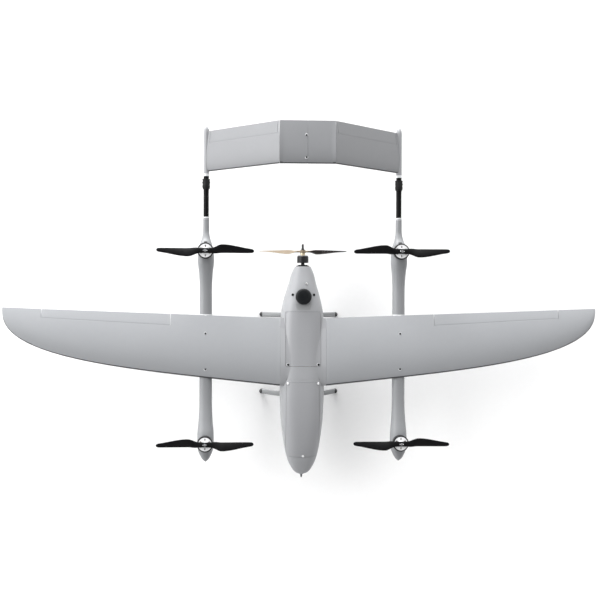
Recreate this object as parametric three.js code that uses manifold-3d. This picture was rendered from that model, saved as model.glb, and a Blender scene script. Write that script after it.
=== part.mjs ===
// A twin-boom fixed wing drone with four lift motors and a pusher motor.
// Millimetres. +X runs to the right wing tip, +Y runs aft, +Z is up and the feet stand on Z = 0.
import * as THREE from 'three';
import { LoftGeometry } from 'three/addons/geometries/LoftGeometry.js';
import { mergeVertices } from 'three/addons/utils/BufferGeometryUtils.js';
import Module from 'manifold-3d';

const wasm = await Module();
wasm.setup();

// Clearances
const SEAM = 0.4; // between pieces that are screwed or bonded face to face
const RUNNING_GAP = 0.8; // between a control surface's round nose and its cove
const END_GAP = 3; // between a control surface's ends and its cove

// Wing
const HALF_SPAN = 1600;
const TIP_LIMIT = HALF_SPAN * 1.002; // where the rounded tip outline would close
const WING_ROOT_X = 124;
const WING_ROOT_CHORD = 375;
const WING_Z = 366;
const WING_TRAIL_Y = -91;
const WING_THICKNESS = 0.12;
const WING_CAMBER = 0.03;
const AILERON = { inner: 711, outer: 1397, innerChord: 59, outerChord: 45, linkX: 830 };
const SPAR = { radius: 8, halfLength: 900, y: -325, z: 366 };

// Fuselage: distance aft, half width, underside height and top height of each station
const FUSELAGE = [
  [-947, 12, 252, 276],
  [-942, 25, 243, 285],
  [-930, 42, 232, 296],
  [-909, 57, 220, 308],
  [-870, 76, 204, 328],
  [-815, 91, 185, 350],
  [-740, 103, 167, 371],
  [-630, 115, 154, 389],
  [-490, 120, 150, 400],
  [-330, 121, 150, 404],
  [-180, 120, 151, 405],
  [-80, 116, 156, 404],
  [-20, 107, 166, 402],
  [40, 92, 186, 396],
  [100, 74, 216, 388],
  [150, 61, 247, 378],
  [191, 43, 284, 371],
];
const WIDEST_Z = 275;
const SKIN = 3;
const BULKHEAD_Y = 183;
const FRONT_HATCH = { from: -844, to: -433, halfWidth: 90, low: 306 };
const REAR_HATCH = { from: -346, to: -53, halfWidth: 95, low: 340 };
const TRAY = { from: -760, to: -70, low: 180, thick: 4 };
const PAYLOAD_PAD = { from: -545, to: -455, halfWidth: 50, top: 190 };
const DOME = { y: 28, radius: 43, top: 424 };
const PITOT = { tip: -968, end: -905, radius: 5.5, z: 264 };

// Booms: distance aft, half width, underside height and top height of each station
const BOOM_X = 524;
const BOOM = [
  [-862, 4, 339, 347],
  [-850, 17, 325, 363],
  [-829, 29, 312, 376],
  [-797, 41, 301, 386],
  [-760, 45, 298, 388],
  [-715, 44, 297, 386],
  [-640, 38, 298, 374],
  [-540, 34, 300, 366],
  [-300, 34, 300, 366],
  [60, 33, 300, 364],
  [150, 37, 299, 374],
  [215, 44, 297, 386],
  [271, 43, 298, 388],
  [312, 32, 304, 378],
  [345, 22, 310, 356],
  [380, 17, 313, 347],
  [450, 16.5, 313.5, 346.5],
];
const BOOM_END_Y = 450;
const BOOM_AXIS_Z = 330;
const TAIL_TUBE = { outer: 15, inner: 13, end: 678, spigot: 12.5, spigotLength: 32 };
const COUPLING = { radius: 22.5, from: 607, to: 661 };
const TIP_END_Y = 952;

// Tail: a flat centre section and two panels that slope down to the booms
const TAIL_CHORD = 219;
const TAIL_TRAIL_Y = 920;
const TAIL_THICKNESS = 0.1;
const TAIL_FLAT_HALF = 143;
const TAIL_TOP_Z = 655;
const RUDDERVATOR = { inner: 9, outer: 471, chord: 64, linkX: 265 };

// Motors and propellers
const LIFT_MOTOR_Y = [-758, 271];
const MOTOR_SEAT_Z = 387;
const LIFT_MOTOR = {
  bell: 43, skirt: 7, rim: 37, boss: 14, height: 43, tip: 58, base: 24, wall: 3, shaft: 4,
};
const LIFT_PROP = { radius: 256, hub: 15, thick: 11, rootChord: 27, chord: 48, pitch: 20 };
const PUSHER_MOTOR = {
  bell: 31, skirt: 15, rim: 50, boss: 13, height: 69, tip: 117, base: 17, wall: 2.5, shaft: 4,
};
const PUSHER_PROP = { radius: 239, hub: 16, thick: 14, rootChord: 26, chord: 37, pitch: 42 };
const PUSHER_Z = 328;
const PUSHER_PLATE = { radius: 36, thick: 5 };

// Landing gear
const GEAR = [
  { name: 'front', y: -521, top: 147 },
  { name: 'rear', y: -76, top: 153 },
];
const GEAR_HALF_TRACK = 212;
const FOOT = { length: 15, width: 16, height: 13, centre: 8 };

// ---- Solids: closed meshes that are joined and cut ----

function solid(geometry) {
  const bare = new THREE.BufferGeometry().copy(geometry);
  bare.deleteAttribute('normal');
  bare.deleteAttribute('uv');
  const merged = mergeVertices(bare, 1e-4);
  return new wasm.Manifold(new wasm.Mesh({
    numProp: 3,
    vertProperties: merged.attributes.position.array,
    triVerts: new Uint32Array(merged.index.array),
  }));
}

function geometryOf(body) {
  const { vertProperties, triVerts } = body.getMesh();
  const geometry = new THREE.BufferGeometry();
  geometry.setAttribute('position', new THREE.BufferAttribute(vertProperties, 3));
  geometry.setIndex(new THREE.BufferAttribute(triVerts, 1));
  geometry.computeVertexNormals();
  return geometry;
}

function box(fromX, toX, fromY, toY, fromZ, toZ) {
  const geometry = new THREE.BoxGeometry(toX - fromX, toY - fromY, toZ - fromZ);
  geometry.translate((fromX + toX) / 2, (fromY + toY) / 2, (fromZ + toZ) / 2);
  return solid(geometry);
}

// A cylinder along X, Y or Z between two distances on that axis
function rod(axis, radius, from, to, centre, sides = 16) {
  const geometry = new THREE.CylinderGeometry(radius, radius, to - from, sides);
  geometry.translate(0, (from + to) / 2, 0);
  if (axis === 'x') geometry.rotateZ(-Math.PI / 2);
  if (axis === 'z') geometry.rotateX(Math.PI / 2);
  geometry.translate(...centre);
  return solid(geometry);
}

// A profile of [radius, height] pairs turned about +Z
function turned(profile, sides = 16) {
  const points = profile.map(([radius, height]) => new THREE.Vector2(radius, height));
  return new THREE.LatheGeometry(points, sides).rotateX(Math.PI / 2);
}

function loft(sections) {
  return solid(new LoftGeometry(sections, { capStart: true, capEnd: true }));
}

// ---- Bodies lofted along +Y, for the fuselage and the booms ----

function ovalRing([y, halfWidth, low, high], centreX, widestZ, squareness, count) {
  return Array.from({ length: count }, (_, i) => {
    const angle = (i / count) * 2 * Math.PI;
    const bend = (value) => Math.sign(value) * Math.abs(value) ** (2 / squareness);
    const rise = Math.sin(angle) > 0 ? high - widestZ : widestZ - low;
    return new THREE.Vector3(
      centreX - halfWidth * bend(Math.cos(angle)), y, widestZ + rise * bend(Math.sin(angle)));
  });
}

// The sections are nearly elliptical at the nose and tail, and squarer amidships
const squarenessAt = (y) => 2.3 + 0.9 * THREE.MathUtils.smoothstep(y, -900, -500)
  * (1 - THREE.MathUtils.smoothstep(y, -40, 180));

function fuselageBody(inset) {
  const stations = FUSELAGE.map(([y, halfWidth, low, high]) => [
    y * (1 - inset / HALF_SPAN), halfWidth - inset, low + inset, high - inset]);
  return loft(stations.map((station) => {
    const middle = Math.min(Math.max(WIDEST_Z, station[2] + 4), station[3] - 4);
    const rise = station[0] / FUSELAGE.at(-1)[0];
    const widest = rise > 0 ? THREE.MathUtils.lerp(WIDEST_Z, PUSHER_Z, rise) : middle;
    return ovalRing(station, 0, widest, squarenessAt(station[0]), 20);
  }));
}

// ---- Aerofoil surfaces lofted along +X ----

const halfThickness = (share, thickness) => 5 * thickness * (0.2969 * Math.sqrt(share)
  - 0.126 * share - 0.3516 * share ** 2 + 0.2843 * share ** 3 - 0.1015 * share ** 4);

// The upper (+1) or lower (-1) surface at a share of the chord from the leading edge
function surfacePoint(section, share, side) {
  const { x, trailY, chord, z, thickness, camber } = section;
  const rise = 4 * camber * share * (1 - share) + side * halfThickness(share, thickness);
  return new THREE.Vector3(x, trailY - chord * (1 - share), z + chord * rise);
}

function aerofoilRing(section, grow = 0, count = 20) {
  return Array.from({ length: count }, (_, i) => {
    const angle = ((i + 0.5) / count) * 2 * Math.PI;
    const point = surfacePoint(section, (1 + Math.cos(angle)) / 2, Math.sin(angle) > 0 ? 1 : -1);
    point.y += grow * Math.cos(angle);
    point.z += grow * Math.sin(angle);
    return point;
  });
}

// Where a control surface turns: its axis lies halfway between the two skins
function hingeOf(section) {
  const share = 1 - section.flap / section.chord;
  const high = surfacePoint(section, share, 1);
  const low = surfacePoint(section, share, -1);
  return { share, y: high.y, z: (high.z + low.z) / 2, radius: (high.z - low.z) / 2 };
}

function noseArc(section, radius, steps) {
  const { y, z } = hingeOf(section);
  return Array.from({ length: steps + 1 }, (_, i) => {
    const angle = (i / steps) * Math.PI;
    return new THREE.Vector3(section.x, y - radius * Math.sin(angle), z + radius * Math.cos(angle));
  });
}

function flapRing(section) {
  const { share, radius } = hingeOf(section);
  const skin = [0.996, 0.97, 0.93].map((s) => 1 - (1 - s) * (1 - share) / 0.1).filter((s) => s > share);
  const upper = skin.map((s) => surfacePoint(section, s, 1));
  const lower = skin.map((s) => surfacePoint(section, s, -1)).reverse();
  return [...upper, ...noseArc(section, radius, 6), ...lower];
}

// The space that a control surface and its swing need, cut out of the panel ahead of it
function coveRing(section) {
  const { y, z, radius } = hingeOf(section);
  const reach = 40;
  const corner = (atY, atZ) => new THREE.Vector3(section.x, atY, atZ);
  return [
    corner(section.trailY + reach, z + reach), corner(y, z + reach),
    ...noseArc(section, radius + RUNNING_GAP, 8),
    corner(y, z - reach), corner(section.trailY + reach, z - reach),
  ];
}

function wingSection(x) {
  const share = x / TIP_LIMIT;
  const along = (x - AILERON.inner) / (AILERON.outer - AILERON.inner);
  return {
    x,
    chord: WING_ROOT_CHORD * (1 - 0.3 * share) * (1 - share ** 5) ** 0.37,
    trailY: WING_TRAIL_Y + 58 * share,
    z: WING_Z,
    thickness: WING_THICKNESS,
    camber: WING_CAMBER,
    flap: THREE.MathUtils.lerp(AILERON.innerChord, AILERON.outerChord, along),
  };
}

// Sections perpendicular to a tail panel, which runs along its own +X
const tailSection = (x) => ({
  x, chord: TAIL_CHORD, trailY: 0, z: 0, thickness: TAIL_THICKNESS, camber: 0, flap: RUDDERVATOR.chord,
});

// ---- Materials and meshes ----

const FINISHES = {
  shell: { color: 0xc9cccd, roughness: 0.42, metalness: 0 },
  carbon: { color: 0x141516, roughness: 0.4, metalness: 0.1 },
  blackPlastic: { color: 0x1a1b1c, roughness: 0.55, metalness: 0 },
  rubber: { color: 0x2a2a2b, roughness: 0.85, metalness: 0 },
  metal: { color: 0xc8cacc, roughness: 0.3, metalness: 1 },
  darkMetal: { color: 0x202124, roughness: 0.35, metalness: 0.9 },
  steel: { color: 0x9a9c9f, roughness: 0.3, metalness: 1 },
  wood: { color: 0xb98d5a, roughness: 0.4, metalness: 0 },
  gear: { color: 0x9c9fa0, roughness: 0.45, metalness: 0 },
  plywood: { color: 0xc9a777, roughness: 0.7, metalness: 0 },
  battery: { color: 0x2f4a7a, roughness: 0.4, metalness: 0 },
};

const drone = new THREE.Group();

function addPiece(name, shape, finish, parent = drone) {
  const geometry = shape.isBufferGeometry ? shape : geometryOf(shape);
  const piece = new THREE.Mesh(geometry, new THREE.MeshStandardMaterial(FINISHES[finish]));
  piece.name = name;
  parent.add(piece);
  return piece;
}

// ---- Fuselage: a hollow shell with two lift-off hatches ----

const outerBody = fuselageBody(0);
const clearanceBody = fuselageBody(-SEAM);
const cavity = fuselageBody(SKIN).intersect(box(-200, 200, -1000, BULKHEAD_Y, 0, 600));
const rootStub = loft([-WING_ROOT_X, WING_ROOT_X].map((x) =>
  aerofoilRing({ ...wingSection(WING_ROOT_X), x })));
const sparBore = rod(
  'x', SPAR.radius + SEAM, -SPAR.halfLength - 1, SPAR.halfLength + 1, [0, SPAR.y, SPAR.z],
);
const hollowBody = outerBody.add(rootStub).subtract(cavity);
const fuselageSkin = hollowBody.subtract(sparBore);

function hatchRegion({ from, to, halfWidth, low }, gap) {
  return box(-halfWidth - gap, halfWidth + gap, from - gap, to + gap, low - gap, 500);
}

const pitotBore = rod('y', PITOT.radius + SEAM, -960, PITOT.end, [0, 0, PITOT.z], 16);
addPiece('fuselage_shell', fuselageSkin
  .subtract(hatchRegion(FRONT_HATCH, SEAM))
  .subtract(hatchRegion(REAR_HATCH, SEAM))
  .subtract(pitotBore), 'shell');
addPiece('front_hatch', hollowBody.intersect(hatchRegion(FRONT_HATCH, 0)), 'shell');
addPiece('rear_hatch', hollowBody.intersect(hatchRegion(REAR_HATCH, 0)), 'shell');

const cavityFit = fuselageBody(SKIN + SEAM);
const payloadPad = box(-PAYLOAD_PAD.halfWidth, PAYLOAD_PAD.halfWidth, PAYLOAD_PAD.from, PAYLOAD_PAD.to,
  TRAY.low, PAYLOAD_PAD.top);
addPiece('equipment_tray', box(-150, 150, TRAY.from, TRAY.to, TRAY.low, TRAY.low + TRAY.thick)
  .intersect(cavityFit)
  .add(payloadPad), 'plywood');
const onTray = TRAY.low + TRAY.thick + SEAM;
addPiece('battery_pack', box(-42, 42, -740, -560, onTray, onTray + 78), 'battery');
addPiece('autopilot', box(-32, 32, -215, -120, onTray, onTray + 34), 'blackPlastic');
const sparRod = rod('x', SPAR.radius, -SPAR.halfLength, SPAR.halfLength, [0, SPAR.y, SPAR.z]);
addPiece('wing_spar', sparRod, 'carbon');

const domeBody = solid(turned([[0, 380], [DOME.radius, 380], [DOME.radius, DOME.top - 9],
  [DOME.radius - 3, DOME.top - 3], [DOME.radius - 10, DOME.top], [0, DOME.top]])
  .translate(0, DOME.y, 0));
addPiece('gnss_dome', domeBody.subtract(clearanceBody), 'blackPlastic');
addPiece('pitot_tube', rod('y', PITOT.radius, PITOT.tip, PITOT.end, [0, 0, PITOT.z], 16), 'metal');

// ---- Motors and propellers, each built about +Z with its seat at Z = 0 ----

function statorShape({ bell, skirt, rim, base, wall, shaft }) {
  const coil = bell - wall - 1;
  const bore = shaft + 1;
  const neck = base * 0.55;
  return turned([[bore, 0], [base, 0], [base, 4], [neck, 5], [neck, skirt + 3], [coil, skirt + 3],
    [coil, rim - 8], [bore, rim - 8], [bore, 0]]);
}

// The turning half: a cup over the windings, with windows between its spokes, and the shaft
function bellShape({ bell, skirt, rim, boss, height, tip, wall, shaft }) {
  const cup = solid(turned([[0, 2], [shaft, 2], [shaft, rim - 6], [bell - wall, rim - 6],
    [bell - wall, skirt], [bell, skirt], [bell, rim - 2], [bell - 2, rim], [boss, rim], [boss, height],
    [shaft, height], [shaft, tip], [0, tip]]));
  const windows = Array.from({ length: 6 }, (_, i) => {
    const angle = (i / 6) * 2 * Math.PI;
    const centre = [Math.cos(angle) * bell * 0.62, Math.sin(angle) * bell * 0.62, 0];
    return rod('z', bell * 0.2, rim - 7, rim + 1, centre, 6);
  });
  return windows.reduce((left, cut) => left.subtract(cut), cup);
}

// One blade along +X: its edge on the -Y side is straight
function bladeRing(share, { radius, thick, rootChord, chord, pitch }) {
  const swell = THREE.MathUtils.smoothstep(share, 0.08, 0.34);
  const taper = 1 - 0.55 * THREE.MathUtils.smoothstep(share, 0.34, 1.05);
  const roundTip = Math.sqrt(1 - Math.min(share, 0.998) ** 26);
  const width = THREE.MathUtils.lerp(rootChord, chord, swell) * taper * roundTip;
  const depth = THREE.MathUtils.lerp(thick * 0.8, width * 0.11, swell);
  const turn = THREE.MathUtils.degToRad(swell * pitch * (1.25 - 0.9 * share));
  const lead = ((width - rootChord) / 2) * swell;
  return Array.from({ length: 8 }, (_, i) => {
    const angle = (i / 8) * 2 * Math.PI;
    const y = lead + (width / 2) * Math.cos(angle);
    const z = (depth / 2) * Math.sin(angle);
    return new THREE.Vector3(share * radius,
      y * Math.cos(turn) - z * Math.sin(turn), y * Math.sin(turn) + z * Math.cos(turn));
  });
}

function propellerShape(size, shaft) {
  const shares = [0, 0.1, 0.2, 0.34, 0.55, 0.78, 0.94, 0.985, 1];
  const blade = new LoftGeometry(shares.map((share) => bladeRing(share, size)),
    { capStart: true, capEnd: true });
  const hub = rod('z', size.hub, -size.thick / 2, size.thick / 2, [0, 0, 0]);
  const bore = rod('z', shaft + 0.3, -size.thick, size.thick, [0, 0, 0], 18);
  const first = solid(blade);
  const second = solid(blade.rotateZ(Math.PI));
  return hub.add(first).add(second).subtract(bore);
}

function addMotor(prefix, seat, motor, prop, finishes) {
  addPiece(`${prefix}_stator`, statorShape(motor), finishes.stator, seat);
  addPiece(`${prefix}_bell`, bellShape(motor), finishes.bell, seat);
  const blades = addPiece(`${prefix}_propeller`, propellerShape(prop, motor.shaft), finishes.prop, seat);
  blades.position.z = motor.height + prop.thick / 2 + 0.3;
  return blades;
}

const pusherFace = FUSELAGE.at(-1)[0];
const plate = rod('y', PUSHER_PLATE.radius, pusherFace + SEAM, pusherFace + SEAM + PUSHER_PLATE.thick,
  [0, 0, PUSHER_Z], 24);
addPiece('pusher_mount', plate, 'darkMetal');
const pusherSeat = new THREE.Group();
pusherSeat.position.set(0, pusherFace + 2 * SEAM + PUSHER_PLATE.thick, PUSHER_Z);
pusherSeat.rotation.x = -Math.PI / 2;
drone.add(pusherSeat);
const pusherBlades = addMotor('pusher', pusherSeat, PUSHER_MOTOR, PUSHER_PROP,
  { stator: 'metal', bell: 'darkMetal', prop: 'wood' });
pusherBlades.scale.z = -1; // it pulls air from the motor's side, so its pitch is the other way

// ---- Control linkages: a servo, its arm and a pushrod to the surface's horn ----

// The arm and the horn are equal and parallel, so the pushrod keeps its direction.
const ARM = 16;
const LEVER_THICK = 2.4;
const ROD_RADIUS = 1.3;

// A flat lever with round ends that hangs down from a turning axis at y, z
function leverShape(x, y, z) {
  const lever = box(x, x + LEVER_THICK, y - 3, y + 3, z - ARM, z);
  const boss = rod('x', 4.5, x, x + LEVER_THICK, [0, y, z], 12);
  const eye = rod('x', 3, x, x + LEVER_THICK, [0, y, z - ARM], 12);
  return lever.add(boss).add(eye);
}

// A horn on a control surface: its foot is aft of the hinge and its eye is straight below it
function hornShape(x, y, z) {
  const outline = new THREE.Shape();
  outline.moveTo(4, -3);
  outline.lineTo(-3, -ARM + 2);
  outline.absarc(0, -ARM, 3, Math.PI, 2 * Math.PI);
  outline.lineTo(14, -3);
  const plateShape = new THREE.ExtrudeGeometry(outline, {
    depth: LEVER_THICK, bevelEnabled: false, curveSegments: 6 });
  return solid(plateShape.rotateX(Math.PI / 2).rotateZ(Math.PI / 2).translate(x, y, z));
}

function linkageOf(section) {
  const hinge = hingeOf(section);
  const servoShare = hinge.share - 0.25;
  const skin = surfacePoint(section, servoShare, -1);
  const spindle = { y: skin.y, z: skin.z - 6 };
  return { hinge, spindle, skinZ: skin.z, x: section.x };
}

function servoBox({ spindle, skinZ, x }, gap) {
  return box(x - 13 - gap, x - 0.6 + gap, spindle.y - 21 - gap, spindle.y + 9 + gap,
    skinZ - 11 - gap, skinZ + 13 + gap);
}

function pushrodShape({ spindle, hinge, x }) {
  const run = new THREE.Vector2(hinge.y - spindle.y, hinge.z - spindle.z);
  const geometry = new THREE.CylinderGeometry(ROD_RADIUS, ROD_RADIUS, run.length() + 5, 10);
  geometry.rotateX(run.angle());
  return geometry.translate(x + LEVER_THICK + SEAM + ROD_RADIUS,
    (spindle.y + hinge.y) / 2, (spindle.z + hinge.z) / 2 - ARM);
}

function addLinkage(link, prefix, side, parent) {
  addPiece(`${prefix}_servo_${side}`, servoBox(link, 0), 'blackPlastic', parent);
  addPiece(`${prefix}_servo_arm_${side}`, leverShape(link.x, link.spindle.y, link.spindle.z),
    'blackPlastic', parent);
  addPiece(`${prefix}_pushrod_${side}`, pushrodShape(link), 'steel', parent);
}

// ---- Wing panels and ailerons ----

const WING_STATIONS = [0, 0.14, 0.3, 0.46, 0.6, 0.72, 0.82, 0.89, 0.94, 0.97, 0.99, 1].map(
  (share) => THREE.MathUtils.lerp(WING_ROOT_X + SEAM, HALF_SPAN, share));

const wingLoft = (grow) => loft(WING_STATIONS.map((x) => aerofoilRing(wingSection(x), grow)));
const wingLink = linkageOf(wingSection(AILERON.linkX));

function wingPanel() {
  const cove = loft([AILERON.inner, AILERON.outer].map((x) => coveRing(wingSection(x))));
  return wingLoft(0).subtract(cove).subtract(sparBore).subtract(servoBox(wingLink, SEAM));
}

function flapWithHorn(stations, sectionAt, { hinge, x }) {
  const flap = loft(stations.map((station) => flapRing(sectionAt(station))));
  return flap.add(hornShape(x, hinge.y, hinge.z));
}

const aileronEnds = [AILERON.inner + END_GAP, AILERON.outer - END_GAP];

// ---- Tail panels and ruddervators, in a frame that slopes with the panel ----

const tailDrop = TAIL_TOP_Z - BOOM_AXIS_Z;
const tailReach = BOOM_X - TAIL_FLAT_HALF;
const tailSlope = Math.atan2(tailDrop, tailReach);
const tailLength = Math.hypot(tailDrop, tailReach);
const tailLink = linkageOf(tailSection(RUDDERVATOR.linkX));

function toTailFrame(geometry) {
  return geometry.rotateY(tailSlope).translate(TAIL_FLAT_HALF, TAIL_TRAIL_Y, TAIL_TOP_Z);
}

function boomTip() {
  const radius = 15.5;
  const front = TAIL_TUBE.end;
  const profile = [[0, front - TAIL_TUBE.spigotLength], [TAIL_TUBE.spigot, front - TAIL_TUBE.spigotLength],
    [TAIL_TUBE.spigot, front + SEAM], [radius, front + SEAM], [radius, TIP_END_Y - 40],
    [radius * 0.85, TIP_END_Y - 18], [radius * 0.5, TIP_END_Y - 4], [0, TIP_END_Y]];
  return solid(turned(profile).rotateX(-Math.PI / 2).translate(BOOM_X, 0, BOOM_AXIS_Z));
}

function tailPanel() {
  const cove = loft([RUDDERVATOR.inner, RUDDERVATOR.outer].map((x) => coveRing(tailSection(x))));
  const whole = loft([-20, tailLength + 20].map((x) => aerofoilRing(tailSection(x))));
  const local = whole.subtract(cove).subtract(servoBox(tailLink, SEAM));
  const placed = solid(toTailFrame(geometryOf(local)));
  const tipSpace = rod('y', 15.5 + SEAM, 600, 1000, [BOOM_X, 0, BOOM_AXIS_Z]);
  return placed.intersect(box(TAIL_FLAT_HALF + SEAM, BOOM_X, 600, 1000, 200, 800)).subtract(tipSpace);
}

// The flat centre thickens at its ends to meet the sloping panels
function tailCentre() {
  const thicker = 1 / Math.cos(tailSlope);
  const stations = [[-1, thicker], [-0.82, 1], [0.82, 1], [1, thicker]];
  return loft(stations.map(([share, factor]) => aerofoilRing({
    ...tailSection(share * TAIL_FLAT_HALF),
    trailY: TAIL_TRAIL_Y,
    z: TAIL_TOP_Z,
    thickness: TAIL_THICKNESS * factor,
  })));
}

addPiece('tail_center', tailCentre(), 'shell');

// ---- Booms ----

function boomBody() {
  const hull = loft(BOOM.map((station) =>
    ovalRing(station, BOOM_X, (station[2] + station[3]) / 2, 2.3, 14)));
  const spigot = rod('y', TAIL_TUBE.spigot, BOOM_END_Y - 5, BOOM_END_Y + TAIL_TUBE.spigotLength,
    [BOOM_X, 0, BOOM_AXIS_Z]);
  const seats = LIFT_MOTOR_Y.map((y) => rod('z', 60, MOTOR_SEAT_Z, MOTOR_SEAT_Z + 20, [BOOM_X, y, 0]));
  const trimmed = seats.reduce((left, seat) => left.subtract(seat), hull.add(spigot));
  return trimmed.subtract(wingLoft(SEAM + 0.2));
}

function ringAlongY(inner, outer, from, to, bevel) {
  const profile = [[inner, from], [outer - bevel, from], [outer, from + bevel],
    [outer, to - bevel], [outer - bevel, to], [inner, to], [inner, from]];
  return turned(profile).rotateX(-Math.PI / 2).translate(BOOM_X, 0, BOOM_AXIS_Z);
}

// ---- Everything that is mirrored left and right ----

function addSide(side, mirror) {
  const half = new THREE.Group();
  half.scale.x = mirror;
  drone.add(half);

  addPiece(`wing_${side}`, wingPanel(), 'shell', half);
  addPiece(`aileron_${side}`, flapWithHorn(aileronEnds, wingSection, wingLink), 'shell', half);
  addLinkage(wingLink, 'aileron', side, half);

  addPiece(`boom_${side}`, boomBody(), 'shell', half);
  addPiece(`tail_tube_${side}`, ringAlongY(TAIL_TUBE.inner, TAIL_TUBE.outer,
    BOOM_END_Y + SEAM, TAIL_TUBE.end, 0.5), 'carbon', half);
  addPiece(`tube_coupling_${side}`, ringAlongY(TAIL_TUBE.outer + 0.3, COUPLING.radius,
    COUPLING.from, COUPLING.to, 3), 'blackPlastic', half);
  addPiece(`boom_tip_${side}`, boomTip(), 'shell', half);

  addPiece(`tail_panel_${side}`, tailPanel(), 'shell', half);
  const slope = new THREE.Group();
  slope.position.set(TAIL_FLAT_HALF, TAIL_TRAIL_Y, TAIL_TOP_Z);
  slope.rotation.y = tailSlope;
  half.add(slope);
  const ends = [RUDDERVATOR.inner + END_GAP, RUDDERVATOR.outer - END_GAP];
  addPiece(`ruddervator_${side}`, flapWithHorn(ends, tailSection, tailLink), 'shell', slope);
  addLinkage(tailLink, 'ruddervator', side, slope);

  LIFT_MOTOR_Y.forEach((y, i) => {
    const seat = new THREE.Group();
    seat.position.set(BOOM_X, y, MOTOR_SEAT_Z + SEAM);
    half.add(seat);
    const blades = addMotor(`lift_${['front', 'rear'][i]}_${side}`, seat, LIFT_MOTOR, LIFT_PROP,
      { stator: 'metal', bell: 'metal', prop: 'carbon' });
    // Neighbouring lift propellers turn opposite ways, so every second one is a mirror image
    if (i === 1) blades.scale.x = -1;
  });
}

addSide('right', 1);
addSide('left', -1);

// ---- Landing gear: a bow of sprung tube under the belly, with a rubber foot at each end ----

function bowBody(y, top, grow) {
  const heights = [[GEAR_HALF_TRACK + 2, 8], [193, 34], [156, 88], [116, 130], [70, top - 1]];
  const right = heights.map(([x, z]) => new THREE.Vector3(x, y, z));
  const left = heights.map(([x, z]) => new THREE.Vector3(-x, y, z)).reverse();
  const path = new THREE.CatmullRomCurve3([...right, new THREE.Vector3(0, y, top), ...left]);
  const section = new THREE.Shape().absellipse(0, 0, 14 + grow, 6 + grow, 0, 2 * Math.PI);
  return solid(new THREE.ExtrudeGeometry(section, { extrudePath: path, steps: 20, curveSegments: 5 }));
}

for (const { name, y, top } of GEAR) {
  const ground = box(-400, 400, y - 50, y + 50, -40, 0);
  addPiece(`${name}_gear_bow`, bowBody(y, top, 0).subtract(clearanceBody)
    .subtract(box(-400, 400, y - 50, y + 50, -40, 4)), 'gear');
  for (const [side, sign] of [['right', 1], ['left', -1]]) {
    const ball = new THREE.SphereGeometry(1, 12, 6).scale(FOOT.length, FOOT.width, FOOT.height);
    ball.translate(sign * GEAR_HALF_TRACK, y, FOOT.centre);
    const foot = solid(ball).subtract(ground).subtract(bowBody(y, top, SEAM));
    addPiece(`${name}_foot_${side}`, foot, 'rubber');
  }
}

export default drone;
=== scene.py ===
from math import atan2, copysign, cos, degrees, hypot, pi, radians, sin, sqrt

import bmesh
import bpy
import numpy as np
from mathutils import Matrix, Vector


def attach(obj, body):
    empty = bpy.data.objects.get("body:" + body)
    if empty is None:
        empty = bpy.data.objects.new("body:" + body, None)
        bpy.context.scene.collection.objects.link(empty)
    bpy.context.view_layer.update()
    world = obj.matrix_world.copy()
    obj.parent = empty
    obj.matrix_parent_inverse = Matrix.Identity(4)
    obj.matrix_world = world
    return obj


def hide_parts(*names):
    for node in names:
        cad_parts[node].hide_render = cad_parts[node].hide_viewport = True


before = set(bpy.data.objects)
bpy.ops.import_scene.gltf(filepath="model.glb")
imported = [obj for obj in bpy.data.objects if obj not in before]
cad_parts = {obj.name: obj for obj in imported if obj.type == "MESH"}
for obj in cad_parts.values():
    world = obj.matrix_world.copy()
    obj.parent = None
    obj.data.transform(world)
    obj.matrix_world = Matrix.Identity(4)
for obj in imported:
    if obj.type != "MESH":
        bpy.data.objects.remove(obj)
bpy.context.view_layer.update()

MM = 0.001
CREASE = radians(32)

# ---- The airframe's dimensions ----

HALF_SPAN = 1600
TIP_LIMIT = HALF_SPAN * 1.002
WING_ROOT_X = 124
WING_Z = 366
AILERON = (711, 1397)
SPAR_Y = -325

FUSELAGE = [  # distance aft, half width, underside height, top height
    (-947, 12, 252, 276), (-942, 25, 243, 285), (-930, 42, 232, 296), (-909, 57, 220, 308),
    (-870, 76, 204, 328), (-815, 91, 185, 350), (-740, 103, 167, 371), (-630, 115, 154, 389),
    (-490, 120, 150, 400), (-330, 121, 150, 404), (-180, 120, 151, 405), (-80, 116, 156, 404),
    (-20, 107, 166, 402), (40, 92, 186, 396), (100, 74, 216, 388), (150, 61, 247, 378),
    (191, 43, 284, 371),
]
WIDEST_Z = 275
FRONT_HATCH = (-844, -433, 90, 306)
REAR_HATCH = (-346, -53, 95, 340)
PUSHER_Z = 328
NOSE_Z = 264
FUSELAGE_END_Y = 191
PANEL_GAP = 0.7

BOOM_X = 524
BOOM_AXIS_Z = 330
BOOM = [
    (-862, 4, 339, 347), (-850, 17, 325, 363), (-829, 29, 312, 376), (-797, 41, 301, 386),
    (-760, 45, 298, 388), (-715, 44, 297, 386), (-640, 38, 298, 374), (-540, 34, 300, 366),
    (-300, 34, 300, 366), (60, 33, 300, 364), (150, 37, 299, 374), (215, 44, 297, 386),
    (271, 43, 298, 388), (312, 32, 304, 378), (345, 22, 310, 356), (380, 17, 313, 347),
    (450, 16.5, 313.5, 346.5),
]
MOTOR_Y = (-758, 271)
MOTOR_SEAT_Z = 387
TUBE_END_Y = 678
TIP_END_Y = 952

TAIL_CHORD = 219
TAIL_TRAIL_Y = 920
TAIL_FLAT_HALF = 143
TAIL_TOP_Z = 655
RUDDERVATOR = (9, 471)
TAIL_SLOPE = atan2(TAIL_TOP_Z - BOOM_AXIS_Z, BOOM_X - TAIL_FLAT_HALF)
TAIL_LENGTH = hypot(TAIL_TOP_Z - BOOM_AXIS_Z, BOOM_X - TAIL_FLAT_HALF)

GEAR = (("front", -521, 147), ("rear", -76, 153))
GEAR_HALF_TRACK = 212

# ---- Shapes: a pair of vertex array and face list ----


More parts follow.
